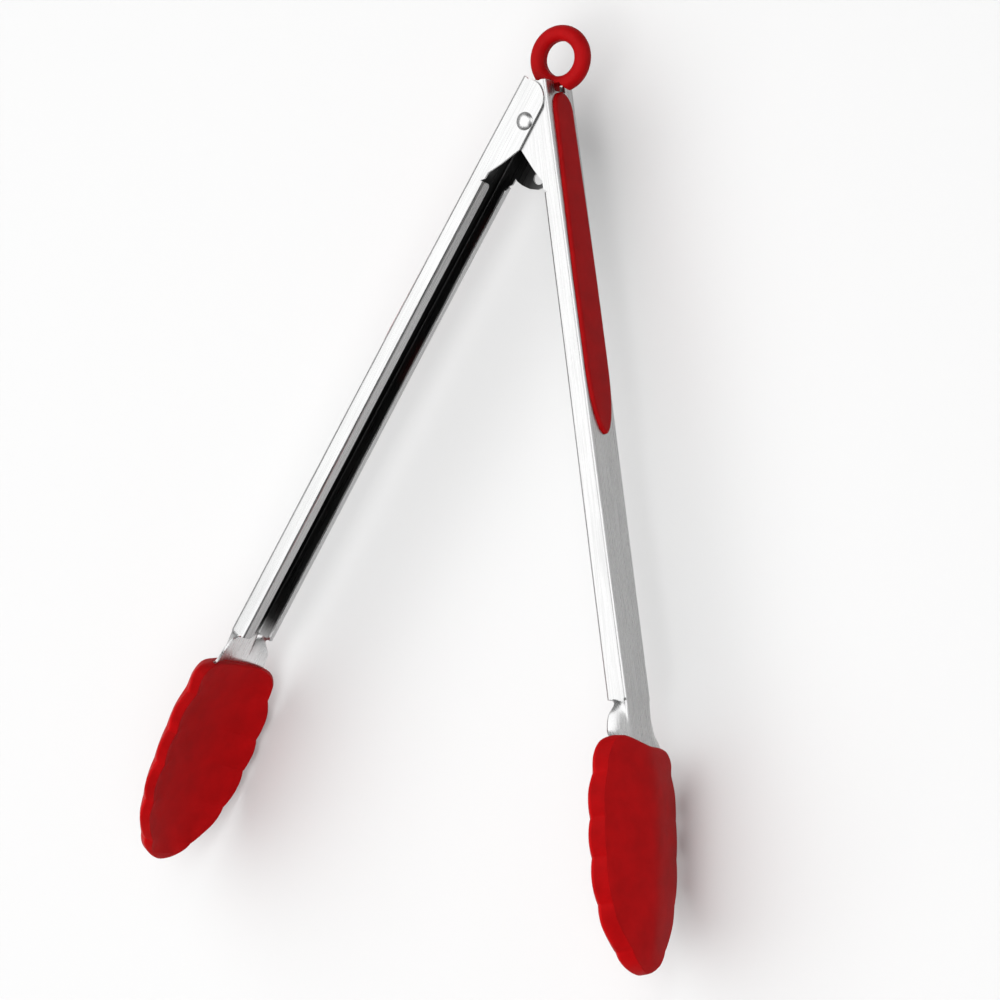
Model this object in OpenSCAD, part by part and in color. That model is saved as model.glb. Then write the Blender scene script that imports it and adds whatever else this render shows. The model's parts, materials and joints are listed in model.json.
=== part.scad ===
// Spring-loaded kitchen tongs: two stamped channel arms on one rivet, opened by a torsion spring,
// with silicone heads and grips and a pull ring whose cross pin drops into a hook to lock them shut.
// The tongs lie on their side, open. The origin is the centre of the hanging hole, +Z is the pivot
// axis, and the fixed arm points along -Y. Arms are drawn in their own axes: u runs from the pivot
// to the tip, v is outward from the closed centre plane, and w runs along the pivot axis.

/* [Opening] */
// Angle between the two arms as they stand open
open_angle = 39.8; // [30:0.2:42]

/* [Arms] */
// Width of each channel over its two side walls
arm_w = 17.8; // [17:0.1:19]
// Thickness of the stainless sheet
sheet = 0.8; // [0.7:0.05:0.9]
// Distance from the pivot to the end of the channel's walls
wall_end = 193; // [185:1:197]
// Height of the back above the closed centre plane, beside the pivot
back_v = 8.75; // [8.5:0.05:9]
// How fast the back rises towards the head, per millimetre
back_rise = 0.0155; // [0.01:0.0005:0.018]
// Height of the open rim above the closed centre plane, beside the pivot
rim_v = 3.15; // [2.8:0.05:3.4]
// How fast the rim rises towards the head, per millimetre
rim_rise = 0.0105; // [0.008:0.0005:0.013]
// Width of the lip folded inwards along each rim
lip_w = 4.0; // [3:0.1:4.6]
// Outside radius of the bends along the back
bend_r = 1.2; // [0.9:0.1:1.6]

/* [Hinge] */
// Radius of the rivet's shank
shank_r = 2.0; // [1.6:0.1:2.2]
// Running clearance between the shank and each moving bore
running = 0.05; // [0.02:0.01:0.1]
// Radius of the rivet's heads
rivet_head_r = 3.0; // [2.8:0.1:3.6]
// Gap between the two arms' overlapping ears
ear_gap = 0.15; // [0.1:0.05:0.25]
// Outside radius of the spacer bushes
bush_r = 2.8; // [2.5:0.1:2.9]
// Diameter of the spring wire
wire_d = 1.2; // [1:0.1:1.3]
// Number of whole turns in the spring
spring_turns = 3; // [2:1:3]

/* [Lock] */
// How far the ring pushes in to lock
lock_travel = 2.4; // [2.2:0.1:2.5]
// Radius of the cross pin
pin_r = 1.3; // [1.1:0.05:1.35]
// Radius of the hook's round notch
notch_r = 2.0; // [1.9:0.05:2.1]

/* [Ring] */
// Radius from the hanging hole's centre to the middle of the ring's tube
ring_r = 8.25; // [8:0.05:8.5]
// Radius of the ring's tube
tube_r = 2.7; // [2.5:0.05:2.8]
// Radius of the hanging hole's straight land
hole_r = 5.75; // [5.7:0.05:5.9]

/* [Grips] */
// Length of each silicone grip
grip_len = 112.4; // [100:0.2:114]
// Height of the grip above the arm's back
grip_h = 1.3; // [1:0.1:1.8]
// Half width of the grip at its upper end
grip_half_top = 5.6; // [5:0.1:6]
// Half width of the grip near its lower end
grip_half_low = 7.0; // [6:0.1:7.2]

/* [Heads] */
// How far the scalloped edge stands out past the gripping face
face_in = 4.8; // [4:0.1:5.5]
// How far it stands out past the shoulders of the back
back_in = 6.0; // [5:0.1:6.5]
// Height of the edge above the rim of the gripping face
edge_front = 1.2; // [0.8:0.1:2]
// Height of the back's shoulders above the edge
edge_back = 2.7; // [2.4:0.1:3.5]
// Thickness of the head along its middle
middle_t = 5.6; // [5:0.1:6.5]
// Depth of the scallops along the edge
scallop = 2.2; // [0:0.1:2.5]

/* [Hidden] */

// The pivot's place, measured from the hanging hole
pivot_x = -10.55;
pivot_y = -19.6;

// The two arms are the same width and staggered by one sheet and the gap between them
stagger = (sheet + ear_gap) / 2;
inner_half = arm_w / 2 - sheet;

// Ear outline
top_u = -12.4;
ear_r = 5.2;
ear_c = [-6.2, 2.1];
ear_edge = ear_c[1] - ear_r;
ear_slant_u = 9;
rim_start = 20.5;
lip_start = 24;

// The cross pin as drawn back, clear of the hook, and the notch it drops into
pin_u = 14.4;
pin_v = 4.4;
notch_u = 16.3;
tooth_u = 15.6;

// Neck and core: [u, half width] of the flat tongue that the head is moulded on
neck_flare = [[wall_end - 3, 7.6], [196, 8.6], [201, 10.4], [205, 10.8]];
core_flare = [[-0.8, 10.8], [12, 13.6], [28, 13], [44, 10], [50, 6]];
core_u = 205;
core_tilt = 4.6;

// Grip windows: [start, end] of each slot that a plug passes through
windows = [[34, 50], [84, 99]];
window_half = 3.4;
plug_half = 4.4;
plug_t = 0.9;
grip_top = -8.9;
notch_half = 3.3;
notch_floor = -9.05;

// Head stations: [u, half width over the crests, height of the edge, height of the back along the middle]
head = [
    [202, 17.5, 9.2, 13.6], [204, 21.5, 8.4, 13.8], [208, 24.3, 7.4, 13.9], [213, 25.2, 6.5, 14.0],
    [221, 27.3, 5.3, 14.0], [235, 27.6, 3.8, 12.9], [249, 26.2, 2.3, 10.8], [259, 22.6, 1.3, 8.8],
    [267, 16.6, 0.8, 6.8], [272, 10.6, 0.5, 5.4], [274.4, 6.2, 0.3, 4.6], [275.6, 1.2, 0.3, 4.0]
];
head_cusps = [196, 214, 228, 240, 254, 268.5, 284];
head_steps = 64;
face_steps = 11;

function back_at(u) = back_v + back_rise * u;
function rim_at(u) = rim_v + rim_rise * u;

// A point of an arm's side view, in the fixed arm's own axes
function side(u, v) = [v, -u];

// Smooth curve through the head stations, column k
function station(u, i = 0) = (i >= len(head) - 2 || u < head[i + 1][0]) ? i : station(u, i + 1);
function tangent(i, k) =
    let (a = max(i - 1, 0), b = min(i + 1, len(head) - 1))
    (head[b][k] - head[a][k]) / (head[b][0] - head[a][0]);
function along(u, k) =
    let (i = station(u), d = head[i + 1][0] - head[i][0], t = (u - head[i][0]) / d)
    head[i][k] * (2 * t^3 - 3 * t^2 + 1) + tangent(i, k) * d * (t^3 - 2 * t^2 + t)
    + head[i + 1][k] * (3 * t^2 - 2 * t^3) + tangent(i + 1, k) * d * (t^3 - t^2);

// How far a scallop cuts in at u: 0 on a lobe's crest, 1 in a cusp
function lobe(u, i = 0) = u < head_cusps[i + 1] ? i : lobe(u, i + 1);
function cut(u) =
    let (i = lobe(u), t = (u - head_cusps[i]) / (head_cusps[i + 1] - head_cusps[i]))
    1 - pow(sin(180 * t), 0.7);

// ------------------------------------------------------------------ arms

ear_arc = [for (a = [0 : 10 : 90]) [ear_c[0] - ear_r * sin(a), ear_c[1] - ear_r * cos(a)]];
outline = concat(
    [[top_u, back_at(top_u)], [wall_end + 3.5, back_at(wall_end + 3.5)]],
    [[wall_end, rim_at(wall_end)], [rim_start, rim_at(rim_start)], [ear_slant_u, ear_edge]],
    ear_arc
);
hook_outline = [
    [6, 6], [6, ear_edge], [ear_slant_u, ear_edge], [14.2, -2.5], [tooth_u, -pin_v + notch_r],
    [tooth_u, -7.5], [17.6, -7.8], [19.6, -6.0], [20.9, -3.0], [21.3, 0], [21.3, 6]
];

// Rounded outside of the channel, long enough to trim the whole arm
module tunnel() {
    translate([back_at(0), 40, 0])
        rotate([0, 0, atan(back_rise)])
            rotate([90, 0, 0])
                linear_extrude(height = 280) {
                    translate([-40, -arm_w / 2])
                        square([40 - bend_r, arm_w]);
                    translate([-bend_r - 1, -arm_w / 2 + bend_r])
                        square([bend_r + 1, arm_w - 2 * bend_r]);
                    for (s = [-1, 1])
                        translate([-bend_r, s * (arm_w / 2 - bend_r)])
                            circle(r = bend_r, $fn = 32);
                }
}

// A flat plate in the plane of u and w, drawn from its half widths
module tongue(flare, u0) {
    rotate([90, 0, 90])
        linear_extrude(height = sheet)
            polygon(concat(
                [for (p = flare) [-(p[0] - u0), p[1]]],
                [for (i = [len(flare) - 1 : -1 : 0]) [-(flare[i][0] - u0), -flare[i][1]]]
            ));
}

// Steel tongue inside the silicone head
module core() {
    translate([back_at(core_u) - sheet, -core_u, 0])
        rotate([0, 0, -core_tilt])
            tongue(core_flare, 0);
}

module hook() {
    translate([0, 0, -arm_w / 2])
        linear_extrude(height = sheet)
            difference() {
                polygon([for (p = hook_outline) side(p[0], p[1])]);
                translate(side(notch_u, -pin_v))
                    circle(r = notch_r, $fn = 48);
            }
}

// One arm in its own axes; shift moves it along the pivot, so that the ears pass each other
module arm(shift, with_hook, bore_r) {
    translate([0, 0, shift])
        difference() {
            union() {
                difference() {
                    intersection() {
                        linear_extrude(height = arm_w, center = true)
                            polygon([for (p = outline) side(p[0], p[1])]);
                        tunnel();
                    }
                    linear_extrude(height = 2 * inner_half, center = true)
                        polygon([
                            side(top_u - 2, back_at(top_u - 2) - sheet), side(240, back_at(240) - sheet),
                            side(240, -20), side(top_u - 2, -20)
                        ]);
                }
                for (s = [-1, 1])
                    translate([0, 0, s * (arm_w / 2 - lip_w / 2 - 0.2)])
                        linear_extrude(height = lip_w - 0.4, center = true)
                            polygon([
                                side(lip_start, rim_at(lip_start)), side(wall_end, rim_at(wall_end)),
                                side(wall_end, rim_at(wall_end) + sheet),
                                side(lip_start, rim_at(lip_start) + sheet)
                            ]);
                if (with_hook)
                    hook();
            }
            translate([0, 0, -arm_w])
                cylinder(r = bore_r, h = 2 * arm_w, $fn = 48);
            for (win = windows)
                translate([back_at(win[0]) - 3, -win[1], -window_half])
                    cube([6, win[1] - win[0], 2 * window_half]);
            translate([back_v - 3, -notch_floor, -notch_half - shift])
                cube([6, 10, 2 * notch_half]);
        }
    translate([back_at(neck_flare[0][0]) - sheet, -neck_flare[0][0], 0])
        rotate([0, 0, atan(back_rise)])
            tongue(neck_flare, neck_flare[0][0]);
    core();
}

// The moving arm's own axes, placed open beside the fixed arm
module opened() {
    translate([pivot_x, pivot_y, 0])
        rotate([0, 0, -open_angle])
            mirror([1, 0, 0])
                children();
}

module closed_side() {
    translate([pivot_x, pivot_y, 0])
        children();
}

module fixed_arm() {
    color([0.78, 0.78, 0.79])
        closed_side()
            arm(-stagger, false, shank_r);
}

module moving_arm() {
    color([0.78, 0.78, 0.79])
        opened()
            arm(stagger, true, shank_r + running);
}

// ------------------------------------------------------------------ heads

// Closed ring of points around the head at u: gripping face, scalloped edge, back, scalloped edge
function head_ring(u) =
    let (
        half = along(u, 1), edge = along(u, 2), back = along(u, 3), near_end = min(1, half / 16),
        face_half = half - face_in * near_end, back_half = half - back_in * near_end,
        wave_half = half - scallop * cut(u) * near_end,
        rim = edge - edge_front * near_end, shoulder = min(edge + edge_back * near_end, back - 0.4),
        inner = max(back - middle_t, rim + 0.2)
    )
    concat(
        [for (i = [0 : face_steps]) let (t = -1 + 2 * i / face_steps)
            [rim + (inner - rim) * (1 - t * t), -u, face_half * t]],
        [[edge, -u, wave_half]],
        [for (i = [0 : face_steps]) let (t = 1 - 2 * i / face_steps)
            [shoulder + (back - shoulder) * (1 - pow(abs(t), 1.6)), -u, back_half * t]],
        [[edge, -u, -wave_half]]
    );

module head_shape() {
    n = 2 * (face_steps + 2);
    u0 = head[0][0];
    u1 = head[len(head) - 1][0];
    rings = [for (j = [0 : head_steps]) head_ring(u0 + (u1 - u0) * j / head_steps)];
    points = [for (r = rings) each r];
    walls = [for (j = [0 : head_steps - 1], i = [0 : n - 1])
        let (a = j * n + i, b = j * n + (i + 1) % n)
        each [[a, b, b + n], [a, b + n, a + n]]];
    polyhedron(
        points,
        concat(walls, [[for (i = [n - 1 : -1 : 0]) i]], [[for (i = [0 : n - 1]) head_steps * n + i]])
    );
}

module head_mould() {
    color([0.72, 0.02, 0.03])
        difference() {
            head_shape();
            core();
            translate([back_at(201) - sheet, -201, 0])
                rotate([0, 0, atan(back_rise)])
                    tongue([[199, 10.4], [201, 10.4], [205.01, 10.8]], 201);
        }
}

module fixed_head() {
    closed_side()
        head_mould();
}

module moving_head() {
    opened()
        head_mould();
}

// ------------------------------------------------------------------ grips

// Half width of the grip at distance d from its upper end: a round top, a long tapering tail
function grip_half(d) =
    let (grow = grip_half_top + (grip_half_low - grip_half_top) * min(1, d / 60), tail = grip_len - d)
    d < grip_half_top ? sqrt(max(0, grip_half_top^2 - (grip_half_top - d)^2))
    : tail < 22 ? grip_half_low * sqrt(max(0, 1 - pow((22 - tail) / 22, 2)))
    : grow;

module grip_pad() {
    head_d = [for (a = [0 : 9 : 90]) grip_half_top * (1 - cos(a))];
    tail_d = [for (a = [0 : 6 : 90]) grip_len - 22 * (1 - sin(a))];
    stops = concat(head_d, [20, 40, 60], tail_d);
    translate([back_at(grip_top) - 0.02, -grip_top, 0])
        rotate([0, 0, atan(back_rise)])
            rotate([90, 0, 90])
                linear_extrude(height = grip_h + 0.02)
                    polygon(concat(
                        [for (d = stops) [-d, grip_half(d)]],
                        [for (i = [len(stops) - 2 : -1 : 1]) [-stops[i], -grip_half(stops[i])]]
                    ));
}

// A plug through each window, with a flange behind the sheet that holds the grip on
module grip_plugs(shift) {
    for (win = windows) {
        mid = (win[0] + win[1]) / 2;
        long = win[1] - win[0];
        translate([back_at(mid), -mid, shift])
            rotate([0, 0, atan(back_rise)]) {
                translate([-sheet - 0.05, -long / 2, -window_half])
                    cube([sheet + 0.1, long, 2 * window_half]);
                translate([-sheet - plug_t, -long / 2 - 1, -plug_half])
                    cube([plug_t, long + 2, 2 * plug_half]);
            }
    }
}

module grip(shift) {
    color([0.68, 0.02, 0.03]) {
        translate([0, 0, shift])
            grip_pad();
        grip_plugs(shift);
    }
}

module fixed_grip() {
    closed_side()
        grip(-stagger);
}

module moving_grip() {
    opened()
        grip(stagger);
}

// ------------------------------------------------------------------ hinge

near_face = arm_w / 2 + stagger;
slider_half_t = 0.6;

module rivet_head(r, h) {
    // a low dome: a slice off a sphere
    ball = (r * r + h * h) / (2 * h);
    intersection() {
        translate([0, 0, h - ball])
            sphere(r = ball, $fn = 64);
        cylinder(r = r + 1, h = h + 1, $fn = 48);
    }
}

module pivot_rivet() {
    color([0.82, 0.82, 0.83])
        closed_side() {
            translate([0, 0, -near_face])
                cylinder(r = shank_r, h = 2 * near_face + 0.05, $fn = 48);
            translate([0, 0, near_face + 0.05])
                rivet_head(rivet_head_r, 1.2);
            translate([0, 0, -near_face])
                mirror([0, 0, 1])
                    rivet_head(rivet_head_r, 1.0);
        }
}

module bush(w0, w1) {
    color([0.92, 0.92, 0.9])
        closed_side()
            translate([0, 0, w0])
                difference() {
                    cylinder(r = bush_r, h = w1 - w0, $fn = 48);
                    translate([0, 0, -1])
                        cylinder(r = shank_r, h = w1 - w0 + 2, $fn = 48);
                }
}

module spring_bush() {
    bush(slider_half_t + 0.1, inner_half - stagger);
}

module spacer_bush() {
    bush(-inner_half + stagger + 0.1, -slider_half_t - 0.1);
}

// Round wire swept along a path of points
function unit(v) = v / norm(v);
function direction(path, i) =
    unit(path[min(i + 1, len(path) - 1)] - path[max(i - 1, 0)]);

module wire(path, r, sides = 8) {
    // every ring is turned about a reference that is never along the wire
    rings = [for (i = [0 : len(path) - 1])
        let (d = direction(path, i), up = [0, 0, 1], e1 = unit(cross(d, up)), e2 = cross(e1, d))
        [for (k = [0 : sides - 1]) path[i] + r * (e1 * cos(360 * k / sides) + e2 * sin(360 * k / sides))]];
    last = (len(path) - 1) * sides;
    polyhedron(
        [for (q = rings) each q],
        concat(
            [for (i = [0 : len(path) - 2], k = [0 : sides - 1])
                let (a = i * sides + k, b = i * sides + (k + 1) % sides)
                each [[a, b + sides, b], [a, a + sides, b + sides]]],
            [[for (k = [0 : sides - 1]) k]],
            [[for (k = [sides - 1 : -1 : 0]) last + k]]
        )
    );
}

// The coil stands round its bush; each leg lies inside the back of one arm
coil_r = bush_r + 0.2 + wire_d / 2;
leg_v = back_v - sheet - wire_d / 2 - 0.15;
coil_w0 = slider_half_t + 0.4 + wire_d / 2;
coil_w1 = inner_half - stagger - 0.5 - wire_d / 2;
leg_bend = 14;
leg_end = 29;
leg_lift = 0.9 * back_rise * leg_end;

// The angle on the coil where a straight leg to [u, v] leaves it, as seen from +Z
leave = atan2(leg_v, leg_bend) + acos(coil_r / norm([leg_bend, leg_v]));

function fixed_leg(u, v, w) = [v, -u, w];
function moving_leg(u, v, w) =
    let (c = cos(-open_angle), s = sin(-open_angle))
    [-v * c + u * s, -v * s - u * c, w];

module torsion_spring() {
    start = -90 + leave;
    finish = 270 - open_angle - leave + 360 * spring_turns;
    steps = 20 * (spring_turns + 1);
    coil = [for (i = [0 : steps])
        let (a = start + (finish - start) * i / steps)
        [coil_r * cos(a), coil_r * sin(a), coil_w0 + (coil_w1 - coil_w0) * i / steps]];
    path = concat(
        [fixed_leg(leg_end, leg_v + leg_lift, coil_w0), fixed_leg(leg_bend + 1.5, leg_v + 0.2, coil_w0),
         fixed_leg(leg_bend - 1.5, leg_v - 0.45, coil_w0)],
        coil,
        [moving_leg(leg_bend - 1.5, leg_v - 0.45, coil_w1), moving_leg(leg_bend + 1.5, leg_v + 0.2, coil_w1),
         moving_leg(leg_end, leg_v + leg_lift, coil_w1)]
    );
    color([0.7, 0.7, 0.72])
        closed_side()
            wire(path, wire_d / 2);
}

// ------------------------------------------------------------------ lock and ring

// Side view of the slider plate, drawn back as it stands at rest
slider_outline = [
    [-16.2, 3.2], [-14.4, 5.6], [-12.4, 6.8], [16.6, 6.8], [16.6, 2.6], [8.2, 2.6], [4.8, -3.2],
    [-5.6, -3.2], [-7.6, 3.0]
];

module slider_plate() {
    linear_extrude(height = 2 * slider_half_t, center = true)
        polygon([for (p = slider_outline) side(p[0], p[1])]);
}

module lock_slider() {
    color([0.72, 0.72, 0.74])
        closed_side()
            difference() {
                slider_plate();
                // slot round the rivet, which guides the plate and stops it at both ends
                for (u = [0, -lock_travel])
                    translate([0, -u, -2])
                        cylinder(r = shank_r + 0.1, h = 4, $fn = 48);
                translate([-shank_r - 0.1, 0, -2])
                    cube([2 * shank_r + 0.2, lock_travel, 4]);
                translate(concat(side(pin_u, pin_v), -2))
                    cylinder(r = pin_r, h = 4, $fn = 48);
            }
}

module lock_pin() {
    color([0.72, 0.72, 0.74])
        closed_side()
            translate(concat(side(pin_u, pin_v), -inner_half - stagger + 0.25))
                cylinder(r = pin_r, h = inner_half + stagger - 0.25 + 4.5, $fn = 48);
}

// The ring is relieved where it stands over the arm's end, and its neck runs on inside the channel
ring_base = notch_floor - lock_travel - 0.15;
ring_relief = [
    [ring_base, back_v - sheet - 0.5], [ring_base, back_v + 1.6], [-8.4, 12.6], [0, 12.6],
    [0, back_v - sheet - 0.5]
];
neck_half = 2.8;
neck_outline = [[-17, 1.9], [-12, 1.9], [-9.6, 2.8], [-9.6, 7.2], [-13.4, 7.2], [-15.5, 4.6]];

module hang_ring() {
    color([0.72, 0.02, 0.03])
        difference() {
            union() {
                difference() {
                    rotate_extrude($fn = 96)
                        translate([ring_r, 0])
                            circle(r = tube_r, $fn = 48);
                    closed_side()
                        linear_extrude(height = 10, center = true)
                            polygon([for (p = ring_relief) side(p[0], p[1])]);
                }
                closed_side()
                    linear_extrude(height = 2 * neck_half, center = true)
                        polygon([for (p = neck_outline) side(p[0], p[1])]);
            }
            cylinder(r = hole_r, h = 12, center = true, $fn = 96);
            closed_side()
                slider_plate();
        }
}

fixed_arm();
moving_arm();
fixed_head();
moving_head();
fixed_grip();
moving_grip();
pivot_rivet();
spring_bush();
spacer_bush();
torsion_spring();
lock_slider();
lock_pin();
hang_ring();
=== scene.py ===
"""Spring-loaded kitchen tongs: the visual model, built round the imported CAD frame.
"""

import json
from math import acos, atan2, cos, pi, radians, sin, sqrt, tan

import bmesh
import bpy
from mathutils import Matrix, Vector


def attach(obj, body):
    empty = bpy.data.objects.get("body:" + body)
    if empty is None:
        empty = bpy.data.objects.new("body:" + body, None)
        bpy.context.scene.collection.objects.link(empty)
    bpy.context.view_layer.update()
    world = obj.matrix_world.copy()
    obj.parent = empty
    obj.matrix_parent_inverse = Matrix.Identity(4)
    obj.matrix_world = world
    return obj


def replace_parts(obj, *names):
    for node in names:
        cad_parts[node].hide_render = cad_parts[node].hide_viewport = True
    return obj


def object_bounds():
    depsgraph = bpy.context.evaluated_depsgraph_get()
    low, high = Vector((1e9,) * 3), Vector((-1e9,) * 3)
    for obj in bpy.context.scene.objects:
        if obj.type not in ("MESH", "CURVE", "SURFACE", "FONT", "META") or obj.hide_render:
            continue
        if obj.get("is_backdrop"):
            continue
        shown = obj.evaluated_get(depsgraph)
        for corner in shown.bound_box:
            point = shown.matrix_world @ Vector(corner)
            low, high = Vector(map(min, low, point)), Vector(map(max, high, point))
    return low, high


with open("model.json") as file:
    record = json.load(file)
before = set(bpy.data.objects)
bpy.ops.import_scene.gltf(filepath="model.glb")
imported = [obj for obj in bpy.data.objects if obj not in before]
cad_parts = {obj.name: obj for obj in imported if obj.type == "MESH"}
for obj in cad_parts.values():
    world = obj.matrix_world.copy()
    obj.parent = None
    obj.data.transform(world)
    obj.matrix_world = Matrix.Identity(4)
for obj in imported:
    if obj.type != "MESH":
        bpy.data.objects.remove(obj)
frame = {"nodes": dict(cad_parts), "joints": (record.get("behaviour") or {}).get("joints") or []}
cad_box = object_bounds()
nodes = frame["nodes"]

MM = 0.001
# The squeeze hinge's place, and how far the arms stand open on it
PIVOT = Vector(frame["joints"][0]["pos_m"])
OPEN = radians(39.8)

# The stamped channel: a back, two walls, and a lip turned in along each wall's rim
SHEET = 0.8
HALF = 8.9
TAPER = 1.15
TAPER_LEN = 180
BACK_V = 8.75
BACK_SLOPE = 0.0155
RIM_V = 3.15
RIM_SLOPE = 0.0105
BEND_R = 1.5
RIM_R = 1.3
LIP = 4.0
LIP_LEAST = 2.3
LIP_ROUND = 2.0
LIP_DIP = 0.7

# Stations along an arm
TOP_U = -12.4
NOTCH_U = -9.05
NOTCH_HALF = 3.3
EAR_END = 20.5
LIP_START = 24.0
WALL_END = 190.5
NECK_END = 209.0
TIP_U = 275.6

# At the pivot each arm is shifted sideways, so that the ears pass each other; the shift fades out
STAGGER = 0.475
STAGGER_FADE = (60, 185)

# mirror, turn: which way the arm faces, and how far it stands open
# neck_slip, head_slip: how much further out the neck and the head sit than drawn
# spread: the head's width over its drawn width
# top_lag: how much lower the head's top edge starts on the side away from the camera
# spine_drop: how much lower the back's top edge sits than the ears' own
# curl: how suddenly the neck's edges curl over
SIDES = {
    "fixed": {
        "body": "fixed_side",
        "mirror": 1,
        "turn": 0.0,
        "stagger": -STAGGER,
        "neck_slip": -1.5,
        "head_slip": -1.5,
        "spread": 0.97,
        "top_lag": 3.4,
        "spine_drop": 0.0,
        "curl": 2.6,
    },
    "moving": {
        "body": "moving_side",
        "mirror": -1,
        "turn": -OPEN,
        "stagger": STAGGER,
        "neck_slip": 4.2,
        "head_slip": 2.2,
        "spread": 1.0,
        "top_lag": 0.0,
        "spine_drop": 1.3,
        "curl": 1.6,
    },
}
# Where the neck's slip grows in, and where the head's takes over from it
NECK_SLIPS = (110, 188)
HEAD_SLIPS = (196, 212)

# A rounding takes at most this share of the lines on either side of its corner
FILLET_SHARE = 0.45


def clamp(x, lo=0.0, hi=1.0):
    """The number, kept between lo and hi."""
    return max(lo, min(hi, x))


def smooth(x, a, b):
    """0 before a, 1 after b, with a smooth step between."""
    t = clamp((x - a) / (b - a))
    return t * t * (3 - 2 * t)


def curve(u, table, k=1):
    """Smooth curve through column k of a table whose column 0 is u."""
    last = len(table) - 1
    i = 0
    while i < last - 1 and u >= table[i + 1][0]:
        i += 1

    def slope(j):
        a, b = max(j - 1, 0), min(j + 1, last)
        return (table[b][k] - table[a][k]) / (table[b][0] - table[a][0])

    d = table[i + 1][0] - table[i][0]
    t = clamp((u - table[i][0]) / d)
    return (
        table[i][k] * (2 * t**3 - 3 * t**2 + 1)
        + slope(i) * d * (t**3 - 2 * t**2 + t)
        + table[i + 1][k] * (3 * t**2 - 2 * t**3)
        + slope(i + 1) * d * (t**3 - t**2)
    )


def fillet(a, b, c, r, n):
    """n + 1 points of a curve that rounds the corner b between a and c, as a radius of about r does."""
    to_a, to_c = a - b, c - b
    half = to_a.angle(to_c) / 2
    reach = min(r / tan(half), FILLET_SHARE * to_a.length, FILLET_SHARE * to_c.length)
    start, end = b + to_a.normalized() * reach, b + to_c.normalized() * reach
    return [start.lerp(b, k / n).lerp(b.lerp(end, k / n), k / n) for k in range(n + 1)]


def between(a, b, n):
    """n points inside the straight line from a to b."""
    return [a.lerp(b, (k + 1) / (n + 1)) for k in range(n)]


def arc(centre, r, start, end, n):
    """n + 1 points round a centre, from a start to an end angle in degrees."""
    angles = [radians(start + (end - start) * k / n) for k in range(n + 1)]
    return [(centre.x + r * cos(a), centre.y + r * sin(a)) for a in angles]


# ------------------------------------------------------------------ placing and finishing

# Edges sharper than this are bevelled
BEVEL_ANGLE = radians(50)


def sideways(u, side):
    """How far the arm is shifted sideways at u."""
    return side["stagger"] * (1 - smooth(u, *STAGGER_FADE))


def slipped(u, side):
    """Where u falls once the neck and head have slipped along the arm; the tips still meet."""
    in_head = smooth(u, *HEAD_SLIPS)
    neck = side["neck_slip"] * smooth(u, *NECK_SLIPS) * (1 - in_head)
    return u + neck + side["head_slip"] * in_head * (1 - smooth(u, HEAD_SLIPS[1], TIP_U))


def piece(bm, name, materials):
    """A linked object with the bmesh's faces, which frees the bmesh."""
    mesh = bpy.data.meshes.new(name)
    bm.to_mesh(mesh)
    bm.free()
    for material in materials:
        mesh.materials.append(material)
    obj = bpy.data.objects.new(name, mesh)
    bpy.context.scene.collection.objects.link(obj)
    return obj


def settle(obj, sharp):
    """Applies the modifiers, then shades smooth up to the sharp angle, weighted by face area."""
    graph = bpy.context.evaluated_depsgraph_get()
    mesh = bpy.data.meshes.new_from_object(obj.evaluated_get(graph))
    mesh.name = obj.name
    old = obj.data
    obj.modifiers.clear()
    obj.data = mesh
    bpy.data.meshes.remove(old)
    mesh.polygons.foreach_set("use_smooth", [True] * len(mesh.polygons))
    mesh.set_sharp_from_angle(angle=radians(sharp))
    weighted = obj.modifiers.new("normals", "WEIGHTED_NORMAL")
    weighted.keep_sharp = True
    weighted.weight = 80


def finish(bm, name, side, materials, sharp, sheet=None, bevel=None):
    """Turns a bmesh in (w, v, u) millimetres of one arm into a finished piece on its body.

    With a sheet thickness, the first material is on the outside and the second inside.
    """
    turn = Matrix.Rotation(side["turn"], 3, "Z")
    for vert in bm.verts:
        w, v, u = vert.co
        vert.co = PIVOT + turn @ Vector((side["mirror"] * v, -slipped(u, side), w)) * MM
    bmesh.ops.recalc_face_normals(bm, faces=bm.faces)
    outward = turn @ Vector((side["mirror"], 0, 0))
    if sheet and sum(face.normal.dot(outward) * face.calc_area() for face in bm.faces) < 0:
        bmesh.ops.reverse_faces(bm, faces=bm.faces)
    obj = piece(bm, name, materials)
    if sheet:
        thicken = obj.modifiers.new("sheet", "SOLIDIFY")
        thicken.thickness = sheet * MM
        thicken.offset = 0
        thicken.use_even_offset = True
        thicken.material_offset = 1
    if bevel:
        edges = obj.modifiers.new("edges", "BEVEL")
        edges.width = bevel * MM
        edges.segments = 2
        edges.limit_method = "ANGLE"
        edges.angle_limit = BEVEL_ANGLE
    settle(obj, sharp)
    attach(obj, side["body"])
    return obj


def skin(bm, rings):
    """Quads between equal closed rings of points, with a flat cap on each end."""
    verts = [[bm.verts.new(p) for p in ring] for ring in rings]
    count = len(verts[0])
    for low, high in zip(verts, verts[1:]):
        for i in range(count):
            j = (i + 1) % count
            bm.faces.new((low[i], low[j], high[j], high[i]))
    bm.faces.new(verts[0][::-1])
    bm.faces.new(verts[-1])


# ------------------------------------------------------------------ materials

# A noise's values lie mostly between these two
NOISE_LOW = 0.3
NOISE_HIGH = 0.7

# Waves per metre of each surface's noises
STREAKS = 2400
BLOTCHES = 60
MOTTLES = 160
SILICONE_GRAINS = 4200
NYLON_GRAINS = 900

# Shares of their plain values that a surface's colour and roughness vary between
STEEL_SHADES = (0.9, 1.06)
STEEL_ROUGHS = (0.8, 1.3)
SILICONE_SHADES = (0.86, 1.1)
SILICONE_ROUGHS = (0.88, 1.12)
# How much a blotch counts beside a streak
BLOTCH_SHARE = 0.25
SILICONE_SPECULAR = 0.04

# How many times longer than wide the brushing's streaks are
ARM_STREAK = 50
PLATE_STREAK = 5

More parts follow.
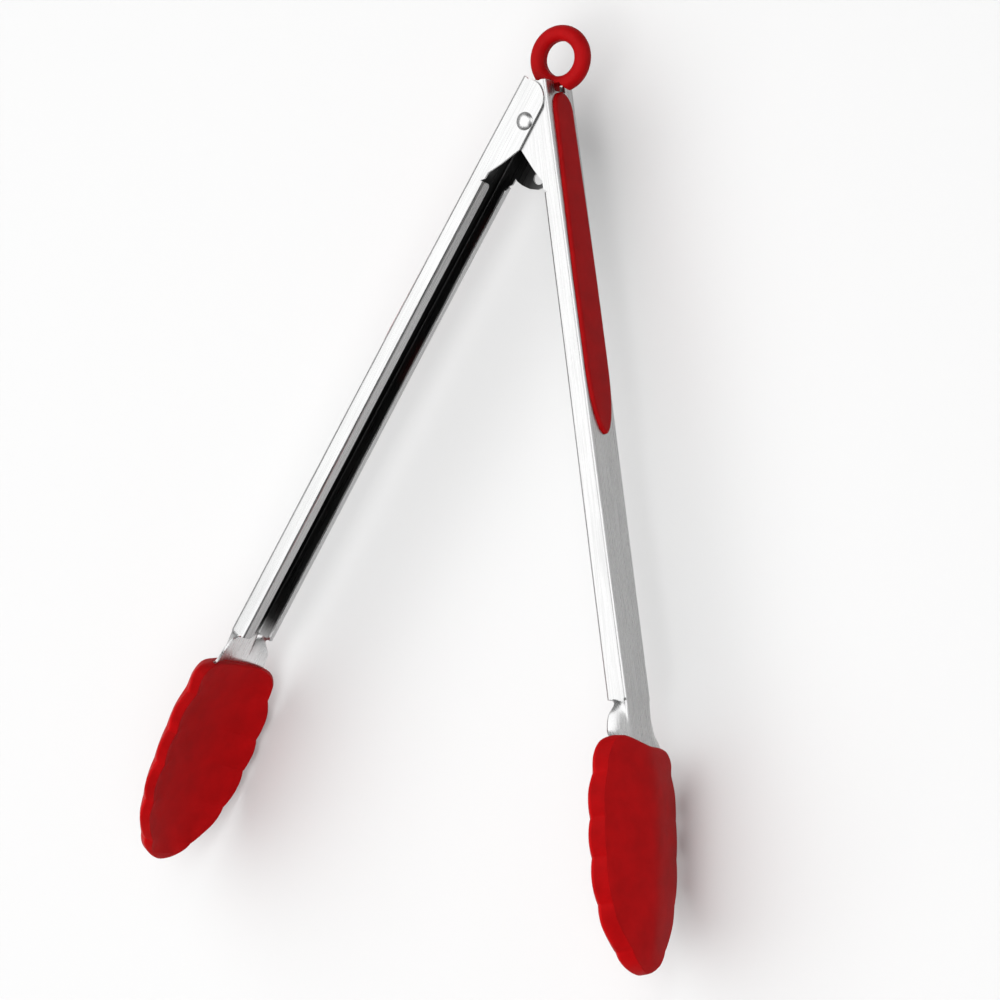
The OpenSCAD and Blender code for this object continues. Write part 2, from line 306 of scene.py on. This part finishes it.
# Inside a channel the steel's colour is darkened as painted shade as far as the end station below, and
# over the fade it brightens into a painted reflection on the neck
ARM_GREY = 0.42
PAINTED_CHANNEL_SHADE = 0.22
PAINTED_SHADE_END = 188.0
PAINTED_SHADE_FADE = 9.0
PAINTED_NECK_REFLECTION = 1.75


def shader(name, colour, rough, metallic=0.0):
    """A material, its tree, and its shader with the plain values set."""
    mat = bpy.data.materials.new(name)
    mat.use_nodes = True
    tree = mat.node_tree
    bsdf = tree.nodes["Principled BSDF"]
    bsdf.inputs["Base Color"].default_value = (*colour, 1)
    bsdf.inputs["Roughness"].default_value = rough
    bsdf.inputs["Metallic"].default_value = metallic
    return mat, tree, bsdf


def noise(tree, scale, detail=3.0, longer=1.0, turn=0.0, rough=0.55):
    """Noise of scale waves per metre, drawn out longer along an arm that is turned about Z."""
    coords = tree.nodes.new("ShaderNodeTexCoord")
    mapping = tree.nodes.new("ShaderNodeMapping")
    mapping.vector_type = "TEXTURE"
    mapping.inputs["Rotation"].default_value = (0, 0, turn)
    mapping.inputs["Scale"].default_value = (1 / scale, longer / scale, 1 / scale)
    tex = tree.nodes.new("ShaderNodeTexNoise")
    tex.inputs["Scale"].default_value = 1.0
    tex.inputs["Detail"].default_value = detail
    tex.inputs["Roughness"].default_value = rough
    tree.links.new(coords.outputs["Object"], mapping.inputs["Vector"])
    tree.links.new(mapping.outputs["Vector"], tex.inputs["Vector"])
    return tex.outputs["Fac"]


def remap(tree, value, lo, hi, start=NOISE_LOW, stop=NOISE_HIGH):
    """The value, taken from the range start to stop to the range lo to hi."""
    node = tree.nodes.new("ShaderNodeMapRange")
    node.inputs["From Min"].default_value = start
    node.inputs["From Max"].default_value = stop
    node.inputs["To Min"].default_value = lo
    node.inputs["To Max"].default_value = hi
    tree.links.new(value, node.inputs["Value"])
    return node.outputs["Result"]


def tint(tree, value, dark, light):
    """A colour between dark and light, as a noise's value goes."""
    ramp = tree.nodes.new("ShaderNodeValToRGB")
    ramp.color_ramp.elements[0].position = NOISE_LOW
    ramp.color_ramp.elements[1].position = NOISE_HIGH
    ramp.color_ramp.elements[0].color = (*dark, 1)
    ramp.color_ramp.elements[1].color = (*light, 1)
    tree.links.new(value, ramp.inputs["Fac"])
    return ramp.outputs["Color"]


def bump(tree, bsdf, value, strength, distance):
    """Relief from a value, distance metres deep."""
    node = tree.nodes.new("ShaderNodeBump")
    node.inputs["Strength"].default_value = strength
    node.inputs["Distance"].default_value = distance
    tree.links.new(value, node.inputs["Height"])
    tree.links.new(node.outputs["Normal"], bsdf.inputs["Normal"])


def painted_shade_and_reflection(tree, colour, painted_shade, turn):
    """The colour times a painted-shade share along an arm's channel, and times the neck's
    painted-reflection share on the neck.
    """
    coords = tree.nodes.new("ShaderNodeTexCoord")
    along = tree.nodes.new("ShaderNodeMapping")
    along.vector_type = "TEXTURE"
    along.inputs["Location"].default_value = PIVOT
    along.inputs["Rotation"].default_value = (0, 0, turn)
    axes = tree.nodes.new("ShaderNodeSeparateXYZ")
    times = tree.nodes.new("ShaderNodeVectorMath")
    times.operation = "SCALE"
    tree.links.new(coords.outputs["Object"], along.inputs["Vector"])
    tree.links.new(along.outputs["Vector"], axes.inputs["Vector"])
    painted_shade_to, painted_reflection_from = PAINTED_SHADE_END * -MM, (PAINTED_SHADE_END + PAINTED_SHADE_FADE) * -MM
    factor = remap(tree, axes.outputs["Y"], painted_shade, PAINTED_NECK_REFLECTION, painted_shade_to, painted_reflection_from)
    tree.links.new(factor, times.inputs["Scale"])
    tree.links.new(colour, times.inputs[0])
    return times.outputs["Vector"]


def brushed(name, grey, rough, longer=1.0, turn=0.0, painted_shade=None):
    """Brushed stainless: streaks along the arm in colour, roughness and relief, and faint blotches; given
    a shade share, also painted shade down the channel and a painted reflection on the neck.
    """
    mat, tree, bsdf = shader(name, (grey, grey, grey * 1.01), rough, 1.0)
    streaks = noise(tree, STREAKS, detail=4.0, longer=longer, turn=turn, rough=0.6)
    blotch = noise(tree, BLOTCHES, detail=2.0)
    mix = tree.nodes.new("ShaderNodeMath")
    mix.operation = "MULTIPLY_ADD"
    mix.inputs[1].default_value = BLOTCH_SHARE
    tree.links.new(blotch, mix.inputs[0])
    tree.links.new(remap(tree, streaks, 0.1, 0.7), mix.inputs[2])
    dark, light = (min(1.0, grey * share) for share in STEEL_SHADES)
    colour = tint(tree, mix.outputs[0], (dark, dark, dark), (light, light, light))
    # Painted shade down the channel and a painted reflection on the neck
    if painted_shade:
        colour = painted_shade_and_reflection(tree, colour, painted_shade, turn)
    tree.links.new(colour, bsdf.inputs["Base Color"])
    smoothest, roughest = (rough * share for share in STEEL_ROUGHS)
    tree.links.new(remap(tree, streaks, smoothest, roughest), bsdf.inputs["Roughness"])
    bump(tree, bsdf, streaks, strength=0.12, distance=0.00004)
    return mat


def silicone(name, colour, rough):
    """Fine matte silicone: a faint mottle in its colour and a very fine grain in its surface."""
    mat, tree, bsdf = shader(name, colour, rough)
    mottle = noise(tree, MOTTLES, detail=4.0)
    grain = noise(tree, SILICONE_GRAINS, detail=2.0)
    dark, light = (tuple(min(1.0, c * share) for c in colour) for share in SILICONE_SHADES)
    tree.links.new(tint(tree, mottle, dark, light), bsdf.inputs["Base Color"])
    smoothest, roughest = (rough * share for share in SILICONE_ROUGHS)
    tree.links.new(remap(tree, grain, smoothest, roughest), bsdf.inputs["Roughness"])
    bsdf.inputs["Specular IOR Level"].default_value = SILICONE_SPECULAR
    bump(tree, bsdf, grain, strength=0.3, distance=0.00005)
    return mat


def moulded(name, colour, rough):
    """Moulded plastic: one colour with a fine grain in its surface."""
    mat, tree, bsdf = shader(name, colour, rough)
    bump(tree, bsdf, noise(tree, NYLON_GRAINS), strength=0.2, distance=0.00005)
    return mat


steel = {
    key: brushed("brushed_steel_" + key, ARM_GREY, 0.26, ARM_STREAK, side["turn"])
    for key, side in SIDES.items()
}
# The sheet's inside faces: the same steel with painted shade down the channel and a painted reflection on
# the neck
inside = {
    key: brushed("inside_steel_painted_shade_and_reflection_" + key, ARM_GREY, 0.3, ARM_STREAK, side["turn"], PAINTED_CHANNEL_SHADE)
    for key, side in SIDES.items()
}
rivet_steel = brushed("peened_steel", 0.5, 0.3)
plate_steel = brushed("plate_steel", 0.45, 0.33, PLATE_STREAK)
wire_steel = brushed("spring_wire", 0.45, 0.25)
head_red = silicone("silicone_head", (0.35, 0.002, 0.003), 0.55)
grip_red = silicone("silicone_grip", (0.29, 0.002, 0.003), 0.5)
ring_red = silicone("silicone_ring", (0.27, 0.002, 0.003), 0.5)
nylon = moulded("nylon", (0.8, 0.8, 0.77), 0.5)

# ------------------------------------------------------------------ arms

# A section's points are counted from the back's centre: to NOTCH_HALF and BACK_W along the back,
# round the bend, down the wall to its free edge, and, where there is a lip, round the rim and in
BACK_W = 6.0
BACK_POINTS = 3
BEND_STEPS = 5
WALL_POINTS = 3
RIM_STEPS = 4
BEND_END = BACK_POINTS + BEND_STEPS
FREE = BEND_END + WALL_POINTS + 1
LIP_END = FREE + RIM_STEPS + 2

# Rows of points along an arm: past the ears, into and out of a lip, down the walls, and down the neck
EAR_ROWS = [TOP_U, NOTCH_U, -6, -1, 5, 11, 16, EAR_END, LIP_START - 1.2]
LIP_ROWS = [0, 0.06, 0.2, 0.4, 0.7, 1]
WALL_ROWS = list(range(32, 185, 8))
NECK_ROWS = [WALL_END + 0.5, 191.6, 192.3, 193, 194, 195, 196, 197.5, 199, 200.5]
NECK_ROWS += [202, 203.5, 205, 207, NECK_END]

# Past the walls the section turns into a shallow dish between these stations
DISH_FADE = (188, 203)
# The neck's free edge: [u, half width, height]
NECK_EDGE = [
    (190.5, 8.5, 6.5),
    (191.6, 8.8, 7.7),
    (193.0, 10.0, 7.9),
    (195.5, 12.3, 7.3),
    (199.0, 13.5, 7.0),
    (201.8, 13.95, 7.2),
    (203.5, 13.6, 8.6),
    (206.0, 12.5, 9.8),
    (209.0, 11.0, 10.4),
]

# How far in from the walls the back's top edge comes up to the ears' own
DROP_FADE = (5.0, 8.2)

# The ears' free edges, as (u, v): a round top, then a slant to the rim, or a hook and then the rim
EAR_CENTRE = Vector((-6.2, 3.5))
EAR_R = 6.6
EAR_EDGE = EAR_CENTRE.y - EAR_R
EAR_ROUND = arc(EAR_CENTRE, EAR_R, 156, 270, 15)
SLANT = [(8.8, EAR_EDGE), (16.1, 0.7)]
HOOK_ROOT = [(8.8, EAR_EDGE), (12.4, -2.75), (14.4, -2.3)]
HOOK_CENTRE = Vector((16.3, -4.4))
HOOK_R = 2.0
HOOK_MOUTH = arc(HOOK_CENTRE, HOOK_R, 111, -111, 18)
HOOK_TIP = [(15.6, -7.3), (16.3, -7.8), (17.6, -7.8), (19.6, -6.0), (20.8, -3.2), (21.2, 0), (21.0, 2.4)]


def back(u):
    """Height of the back's outer face."""
    return BACK_V + BACK_SLOPE * u


def rim(u):
    """Height of the walls' rims."""
    return RIM_V + RIM_SLOPE * u


def lip_width(u):
    """Full along the arm, with a rounded corner at each end."""
    into = max(LIP_START + LIP_ROUND - u, u - WALL_END + LIP_ROUND, 0) / LIP_ROUND
    return LIP_LEAST + (LIP - LIP_LEAST) * sqrt(clamp(1 - into**2))


def half_section(u, curl):
    """Middle of the sheet from the back's centre outwards, as (w, v) points."""
    mid = SHEET / 2
    spine = Vector((0, back(u) - mid))
    corner = Vector((HALF - mid - TAPER * clamp((u - EAR_END) / TAPER_LEN), spine.y))
    lipped = LIP_START <= u <= WALL_END
    foot = Vector((HALF - mid, rim(u) + (mid if lipped else 0)))
    bend = fillet(spine, corner, foot, BEND_R - mid, BEND_STEPS)
    points = [spine, Vector((NOTCH_HALF, spine.y)), Vector((BACK_W, spine.y)), *bend]
    if lipped:
        width = lip_width(u)
        inner = Vector((foot.x - width + mid, foot.y - LIP_DIP * width / LIP))
        turn = fillet(corner, foot, inner, RIM_R - mid, RIM_STEPS)
        points += between(bend[-1], turn[0], WALL_POINTS) + turn
        return points + [turn[-1].lerp(inner, 0.5), inner]
    if u <= WALL_END:
        return points + between(bend[-1], foot, WALL_POINTS) + [foot]
    edge = Vector((curve(u, NECK_EDGE, 1), curve(u, NECK_EDGE, 2)))
    points += between(bend[-1], edge, WALL_POINTS) + [edge]
    return dished(points, curl, smooth(u, *DISH_FADE))


def dished(points, curl, blend):
    """The points of a section, blended into a dish from its centre to its edge."""
    spine, edge = points[0], points[-1]
    lengths = [0.0]
    for a, b in zip(points, points[1:]):
        lengths.append(lengths[-1] + (b - a).length)
    dish = []
    for point, length in zip(points, lengths):
        s = length / lengths[-1]
        on_dish = Vector((edge.x * s, spine.y - (spine.y - edge.y) * s**curl))
        dish.append(point.lerp(on_dish, blend))
    return dish


def ear_outline(hooked):
    """Free edge of an ear as (u, v) points, from the top of the arm round to the rim."""
    if hooked:
        return EAR_ROUND + HOOK_ROOT + HOOK_MOUTH + HOOK_TIP
    return EAR_ROUND + SLANT


def section_row(bm, u, side):
    """The section's vertices at u, numbered outwards from the centre: one side up, the other down."""
    points = half_section(u, side["curl"])
    if u < EAR_END:
        points = points[: BEND_END + 1]
    shift = sideways(u, side)
    row = {}
    for i, p in enumerate(points):
        drop = side["spine_drop"] * (1 - smooth(p.x, *DROP_FADE)) if u == TOP_U else 0.0
        row[i] = bm.verts.new((p.x + shift, p.y, u + drop))
        if i:
            row[-i] = bm.verts.new((-p.x + shift, p.y, u + drop))
    return row


def arm(name, key):
    """One stamped arm: the channel, its notched top, its two ears and its neck, as one sheet."""
    side = SIDES[key]
    bm = bmesh.new()
    stations = EAR_ROWS + [LIP_START + LIP_ROUND * k for k in LIP_ROWS] + WALL_ROWS
    stations += [WALL_END - LIP_ROUND * k for k in reversed(LIP_ROWS)] + NECK_ROWS
    rows = [section_row(bm, u, side) for u in stations]
    for n, (low, high) in enumerate(zip(rows, rows[1:])):
        for i in range(-LIP_END, LIP_END):
            cell = [low.get(i), low.get(i + 1), high.get(i + 1), high.get(i)]
            in_notch = stations[n + 1] <= NOTCH_U and i in (-1, 0)
            if None in cell or in_notch:
                continue
            bm.faces.new(cell)
    ears = [row for row, u in zip(rows, stations) if u <= EAR_END]
    for s in (1, -1):
        loop = [row[s * BEND_END] for row in ears]
        loop += [ears[-1][s * k] for k in range(BEND_END + 1, FREE + 1)]
        w = s * (HALF - SHEET / 2) + side["stagger"]
        outline = ear_outline(key == "moving" and s < 0)
        loop += [bm.verts.new((w, v, u)) for u, v in reversed(outline)]
        bm.faces.new(loop)
    both = (steel[key], inside[key])
    obj = finish(bm, name, side, both, sharp=40, sheet=SHEET, bevel=0.14)
    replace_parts(obj, key + "_arm")
    return obj


# ------------------------------------------------------------------ heads

# [u, half width over the crests, height of the edge, height of the back along the middle]
HEAD = [
    (202.3, 15.5, 8.4, 13.2),
    (204, 20.5, 7.6, 13.5),
    (208, 24.0, 6.6, 13.8),
    (213, 25.2, 5.7, 14.0),
    (221, 27.3, 4.8, 14.0),
    (235, 27.6, 3.3, 12.9),
    (249, 26.2, 2.0, 10.8),
    (259, 22.6, 1.2, 8.8),
    (265.5, 17.9, 0.9, 7.1),
    (268.5, 15.3, 0.7, 6.3),
    (271, 12.4, 0.5, 5.6),
    (273, 9.0, 0.4, 5.0),
    (274.5, 5.4, 0.3, 4.4),
    (275.3, 2.4, 0.3, 3.9),
    (TIP_U, 0.5, 0.3, 3.2),
]
# Where one lobe meets the next, how deep the cut is there, and how much of it the face and back have
CUSPS = [196, 214, 228, 240, 254, 268.5, 284]
SCALLOP = 2.3
FACE_CUT = 0.6
REAR_CUT = 0.2
# Below 1, a lobe's crest is broad and the cusps are sharp
LOBE_POWER = 0.75
# A section is full from this half width up, and shrinks with the head below it
FULL_HALF = 16
# The gripping face is a dish, this far in from the edge and this far below it
FACE_IN = 3.3
FACE_DROP = 2.0
FACE_POWER = 2.2
FACE_LEAST = 0.15
# The back is a low roof, this far in from the edge and this far above it, and more at the tip
REAR_IN = 4.6
REAR_RISE = 3.4
TIP_RISE = 0.9
TIP_RISE_FADE = (252, 273)
REAR_POWER = 0.68
REAR_ROUND = 0.006
REAR_LEAST = 0.3
# Silicone through the middle of the head, from the back to the dish
MIDDLE = 5.6
# Radii of the rounded edges, at the face and along the side walls, and the steps round them
FACE_R = 0.5
WALL_R = 0.8
CORNER_STEPS = 4
WALL_STEPS = 5
# Rounding of the head's top, and how its slanted start fades down the head and across it
NOSE = 1.1
NOSE_STEPS = 6
LAG_FADE = (203, 216)
LAG_SPAN = (-13, 4)
# Steps across the face and the back, which are drawn out to the first share of their width; the
# rounding of their outer edges is aimed from the second
FACE_STEPS = 20
REAR_STEPS = 26
DRAWN = 0.985
ROUNDED_FROM = 0.93
# Steps down the head, and how much they crowd towards the tip
HEAD_STEPS = 160
CROWDING = 1.3


def cut(u):
    """How far a scallop cuts in: 0 on a lobe's crest, 1 in a cusp."""
    for a, b in zip(CUSPS, CUSPS[1:]):
        if u < b:
            return 1 - sin(pi * (u - a) / (b - a)) ** LOBE_POWER
    return 0.0


def head_ring(u, inset, side):
    """Ring of (w, v, u) points round the head, shrunk by inset."""
    half = curve(u, HEAD, 1) - inset
    edge = curve(u, HEAD, 2)
    crown = curve(u, HEAD, 3) - inset
    part = clamp(half / FULL_HALF)
    cusp = SCALLOP * cut(u) * part
    wave = half - cusp
    face = half - FACE_IN * part - FACE_CUT * cusp
    rear = half - REAR_IN * part - REAR_CUT * cusp
    lip = edge - FACE_DROP * part + inset
    rise = REAR_RISE + TIP_RISE * smooth(u, *TIP_RISE_FADE)
    shoulder = min(edge + rise - inset, crown - REAR_LEAST)
    inner = max(crown - MIDDLE + 2 * inset, lip + FACE_LEAST)

    def dish(t):
        return Vector((face * t, lip + (inner - lip) * (1 - abs(t) ** FACE_POWER)))

    def roof(t):
        return Vector((rear * t, shoulder + (crown - shoulder) * (1 - (t * t + REAR_ROUND) ** REAR_POWER)))

    def wall(s):
        return Vector((s * face, lip)), Vector((s * wave, edge)), Vector((s * rear, shoulder))

    ring = [dish(DRAWN * (k / FACE_STEPS * 2 - 1)) for k in range(1, FACE_STEPS)]
    a, b, c = wall(1)
    ring += fillet(dish(ROUNDED_FROM), a, b, FACE_R, CORNER_STEPS)
    ring += fillet(a, b, c, WALL_R, WALL_STEPS)
    ring += fillet(b, c, roof(ROUNDED_FROM), WALL_R, CORNER_STEPS)
    ring += [roof(DRAWN * (1 - 2 * k / REAR_STEPS)) for k in range(1, REAR_STEPS)]
    a, b, c = wall(-1)
    ring += fillet(roof(-ROUNDED_FROM), c, b, WALL_R, CORNER_STEPS)
    ring += fillet(c, b, a, WALL_R, WALL_STEPS)
    ring += fillet(b, a, dish(-ROUNDED_FROM), FACE_R, CORNER_STEPS)
    lag = side["top_lag"] * (1 - smooth(u, *LAG_FADE))
    return [(p.x * side["spread"], p.y, u + lag * smooth(-p.x, *LAG_SPAN)) for p in ring]


def head(name, key):
    """One scalloped silicone head, from its rounded top to its tip."""
    side = SIDES[key]
    bm = bmesh.new()
    top, tip = HEAD[0][0], HEAD[-1][0]
    rings = []
    for k in range(NOSE_STEPS):
        a = radians(90 * k / NOSE_STEPS)
        rings.append(head_ring(top + NOSE * (1 - cos(a)), NOSE * (1 - sin(a)), side))
    for k in range(HEAD_STEPS + 1):
        u = tip - (tip - top - NOSE) * (1 - k / HEAD_STEPS) ** CROWDING
        rings.append(head_ring(u, 0, side))
    skin(bm, rings)
    obj = finish(bm, name, side, (head_red,), sharp=42)
    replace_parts(obj, key + "_head")
    return obj


# ------------------------------------------------------------------ grips

GRIP_TOP = -8.9
GRIP_LEN = 112.4
GRIP_TOP_R = 5.6
GRIP_HALF = 7.0
GRIP_FLARE = 60
GRIP_TAIL = 22
# Steps across the grip, round its top, down its straight stretch and round its tail
GRIP_STEPS = 24
GRIP_TOP_STEPS = 18
GRIP_STRAIGHT_STEPS = 28
GRIP_TAIL_STEPS = 30
# Height above the steel, how far it sinks into it, the edge's rounding, and the share of its height
# that it loses from its middle to its sides
GRIP_H = 1.15
GRIP_SINK = 0.1
GRIP_ROUND = 1.3
GRIP_CROWN = 0.12
# The plugs that hold the grip fill these windows in the back: they stand proud inside the channel,
# and reach out through the steel into the pad
WINDOWS = [(34, 50), (84, 99)]
PLUG_HALF = 3.4
PLUG_PROUD = 0.3
PLUG_REACH = 0.9


def grip_half(d):
    """Half width at distance d from the grip's upper end: a round top, a long tapering tail."""
    tail = GRIP_LEN - d
    if d < GRIP_TOP_R:
        return sqrt(max(0.0, GRIP_TOP_R**2 - (GRIP_TOP_R - d) ** 2))
    if tail < GRIP_TAIL:
        return GRIP_HALF * sqrt(clamp(1 - ((GRIP_TAIL - tail) / GRIP_TAIL) ** 2))
    return GRIP_TOP_R + (GRIP_HALF - GRIP_TOP_R) * clamp(d / GRIP_FLARE)


def block(bm, lo, hi):
    """A box in (w, v, u)."""
    made = bmesh.ops.create_cube(bm, size=1)["verts"]
    for vert in made:
        vert.co = [a + (b - a) * (c + 0.5) for a, b, c in zip(lo, hi, vert.co)]


def grip(name, key):
    """One grip: a crowned pad along the arm's back, and the plugs that show inside the channel."""
    side = SIDES[key]
    bm = bmesh.new()
    straight = GRIP_LEN - GRIP_TAIL - GRIP_TOP_R
    in_top = [radians(90 * k / GRIP_TOP_STEPS) for k in range(1, GRIP_TOP_STEPS)]
    in_tail = [radians(90 * k / GRIP_TAIL_STEPS) for k in range(1, GRIP_TAIL_STEPS)]
    distances = [GRIP_TOP_R * (1 - cos(a)) for a in in_top]
    distances += [GRIP_TOP_R + straight * k / GRIP_STRAIGHT_STEPS for k in range(GRIP_STRAIGHT_STEPS + 1)]
    distances += [GRIP_LEN - GRIP_TAIL * (1 - sin(a)) for a in in_tail]
    outline = [(s * grip_half(d), d) for d in distances for s in (1, -1)]
    rows = []
    for d in distances:
        u = d + GRIP_TOP
        row = []
        for k in range(GRIP_STEPS + 1):
            w = grip_half(d) * -cos(pi * k / GRIP_STEPS)
            gap = min(sqrt((w - a) ** 2 + (d - b) ** 2) for a, b in outline)
            rise = sqrt(clamp(1 - (1 - clamp(gap / GRIP_ROUND)) ** 2))
            crown = 1 - GRIP_CROWN * (w / GRIP_HALF) ** 2
            v = back(u) - GRIP_SINK + (GRIP_H + GRIP_SINK) * rise * crown
            row.append(bm.verts.new((w + sideways(u, side), v, u)))
        rows.append(row)
    for low, high in zip(rows, rows[1:]):
        for k in range(GRIP_STEPS):
            bm.faces.new((low[k], low[k + 1], high[k + 1], high[k]))
    rim_loop = rows[0] + [row[-1] for row in rows[1:-1]] + rows[-1][::-1]
    rim_loop += [row[0] for row in rows[-2:0:-1]]
    bm.faces.new(rim_loop)
    for a, b in WINDOWS:
        w = sideways(a, side)
        v = back(a) - SHEET
        block(bm, (w - PLUG_HALF, v - PLUG_PROUD, a), (w + PLUG_HALF, v + PLUG_REACH, b))
    obj = finish(bm, name, side, (grip_red,), sharp=50, bevel=0.25)
    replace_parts(obj, key + "_grip")
    return obj


# ------------------------------------------------------------------ spring

WIRE = 1.2
WIRE_SIDES = 14
BUSH_R = 2.8
SLIDER_HALF = 0.6
TURNS = 3
TURN_STEPS = 46
# The wire's play on the bush, beside the slider, beside the moving ear and under the back
BUSH_PLAY = 0.2
SLIDER_PLAY = 0.4
EAR_PLAY = 0.5
BACK_PLAY = 0.15
COIL_R = BUSH_R + BUSH_PLAY + WIRE / 2
COIL_LOW = SLIDER_HALF + SLIDER_PLAY + WIRE / 2
COIL_HIGH = HALF - SHEET - STAGGER - EAR_PLAY - WIRE / 2
# Each leg runs straight from the coil to a bend, and from there along the arm's back
LEG_V = BACK_V - SHEET - WIRE / 2 - BACK_PLAY
LEG_BEND = 14
LEG_END = 29
LEG_SLOPE = 0.014


def tube(points, r):
    """Rings of points round a path, for a wire of radius r."""
    rings = []
    for i, p in enumerate(points):
        ahead = (points[min(i + 1, len(points) - 1)] - points[max(i - 1, 0)]).normalized()
        across = ahead.cross(Vector((0, 0, 1))).normalized()
        over = across.cross(ahead)
        angles = [2 * pi * k / WIRE_SIDES for k in range(WIRE_SIDES)]
        rings.append([p + r * (across * cos(a) + over * sin(a)) for a in angles])
    return rings


def wire(name, path, body):
    """A piece of spring wire along a path in millimetres from the pivot."""
    bm = bmesh.new()
    skin(bm, tube([p * MM for p in path], WIRE / 2 * MM))
    bmesh.ops.recalc_face_normals(bm, faces=bm.faces)
    obj = piece(bm, name, (wire_steel,))
    settle(obj, 50)
    obj.location = PIVOT
    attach(obj, body)
    return obj


def spring():
    """The coil with its leg along the fixed arm, and the other leg along the moving arm."""
    leave = atan2(LEG_V, LEG_BEND) + acos(COIL_R / sqrt(LEG_BEND**2 + LEG_V**2))
    start = leave - radians(90)
    end = radians(270) - OPEN - leave + 2 * pi * TURNS
    steps = TURN_STEPS * (TURNS + 1)
    coil = []
    for k in range(steps + 1):
        a = start + (end - start) * k / steps
        w = COIL_LOW + (COIL_HIGH - COIL_LOW) * k / steps
        coil.append(Vector((COIL_R * cos(a), COIL_R * sin(a), w)))
    leg = [
        (LEG_END, LEG_V + LEG_SLOPE * LEG_END),
        (LEG_BEND + 1.5, LEG_V + 0.2),
        (LEG_BEND - 1.5, LEG_V - 0.45),
    ]
    fixed_leg = [Vector((v, -u, COIL_LOW)) for u, v in leg]
    turn = Matrix.Rotation(-OPEN, 3, "Z")
    moving_leg = [turn @ Vector((-v, -u, COIL_HIGH)) for u, v in leg[::-1]]
    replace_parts(wire("spring_coil", fixed_leg + coil, "fixed_side"), "torsion_spring")
    wire("spring_leg", coil[-3:] + moving_leg, "moving_side")


arm("arm_fixed_channel", "fixed")
arm("arm_moving_channel", "moving")
head("head_fixed_silicone", "fixed")
head("head_moving_silicone", "moving")
grip("grip_fixed_pad", "fixed")
grip("grip_moving_pad", "moving")
spring()

# ------------------------------------------------------------------ CAD nodes that show

NODE_MATERIALS = {
    "pivot_rivet": rivet_steel,
    "spring_bush": nylon,
    "spacer_bush": nylon,
    "lock_slider": plate_steel,
    "lock_pin": plate_steel,
    "hang_ring": ring_red,
}
for node, material in NODE_MATERIALS.items():
    mesh = nodes[node].data
    mesh.materials.clear()
    mesh.materials.append(material)

# ------------------------------------------------------------------ floor, light, camera

# What the lights face, near the middle of the tongs
CENTRE = Vector((-0.07, -0.15, 0))
FLOOR_HALF = 4.0
FLOOR_GAP = 0.0002
FLOOR_GREY = 0.56
# The room's brightness low down and overhead, and the heights on a unit sphere it fades between
ROOM_BRIGHT = 0.5
ROOM_DARK = 0.05
ROOM_FADE = (0.2, 0.55)

# The camera's place and its own three axes
CAMERA_AT = (1.00388, -0.46485, 1.74644)
CAMERA_RIGHT = (0.84330, -0.11185, -0.52568)
CAMERA_UP = (0.17836, 0.98091, 0.07742)
CAMERA_BACK = (0.50698, -0.15905, 0.84716)
CAMERA_LENS = 231.2
CAMERA_SENSOR = 36
CAMERA_REACH = 50


def floor():
    """A plain pale floor just under the lowest point of the tongs."""
    low = min(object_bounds()[0][2], cad_box[0][2]) - FLOOR_GAP
    corners = [(x * FLOOR_HALF, y * FLOOR_HALF, low) for x, y in ((-1, -1), (1, -1), (1, 1), (-1, 1))]
    mesh = bpy.data.meshes.new("floor")
    mesh.from_pydata(corners, [], [(0, 1, 2, 3)])
    mesh.materials.append(shader("pale_floor", (FLOOR_GREY, FLOOR_GREY, FLOOR_GREY), 0.7)[0])
    obj = bpy.data.objects.new("floor", mesh)
    bpy.context.scene.collection.objects.link(obj)
    obj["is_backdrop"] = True


def studio():
    """A pale room with a dark ceiling, which the open channels reflect."""
    world = bpy.data.worlds.new("studio")
    bpy.context.scene.world = world
    world.use_nodes = True
    tree = world.node_tree
    coords = tree.nodes.new("ShaderNodeTexCoord")
    axes = tree.nodes.new("ShaderNodeSeparateXYZ")
    tree.links.new(coords.outputs["Generated"], axes.inputs["Vector"])
    background = tree.nodes["Background"]
    background.inputs["Color"].default_value = (1, 1, 1, 1)
    strength = remap(tree, axes.outputs["Z"], ROOM_BRIGHT, ROOM_DARK, *ROOM_FADE)
    tree.links.new(strength, background.inputs["Strength"])


def softbox(name, direction, distance, size, power):
    """A rectangular light that faces the tongs from a direction and a distance in metres."""
    light = bpy.data.lights.new(name, "AREA")
    light.shape = "RECTANGLE"
    light.size, light.size_y = size
    light.energy = power
    obj = bpy.data.objects.new(name, light)
    way = Vector(direction).normalized()
    obj.location = CENTRE + way * distance
    obj.rotation_euler = way.to_track_quat("Z", "Y").to_euler()
    bpy.context.scene.collection.objects.link(obj)
    return obj


def camera():
    """The scene's camera."""
    data = bpy.data.cameras.new("camera")
    data.sensor_width = CAMERA_SENSOR
    data.lens = CAMERA_LENS
    data.clip_end = CAMERA_REACH
    obj = bpy.data.objects.new("camera", data)
    turned = Matrix((CAMERA_RIGHT, CAMERA_UP, CAMERA_BACK)).transposed().to_4x4()
    obj.matrix_world = Matrix.Translation(CAMERA_AT) @ turned
    bpy.context.scene.collection.objects.link(obj)
    bpy.context.scene.camera = obj


floor()
studio()
softbox("key", (-0.28, 0.14, 0.95), 1.6, (3.0, 3.0), 66)
# the card shows only in the steel, and the fill only on the silicone and the floor
softbox("card", (0.9, 0.16, 0.42), 1.4, (1.0, 1.2), 9).visible_diffuse = False
softbox("fill", (0.25, -0.3, 0.92), 1.6, (1.2, 1.2), 15).visible_glossy = False
camera()
bpy.context.scene.view_settings.view_transform = "Standard"
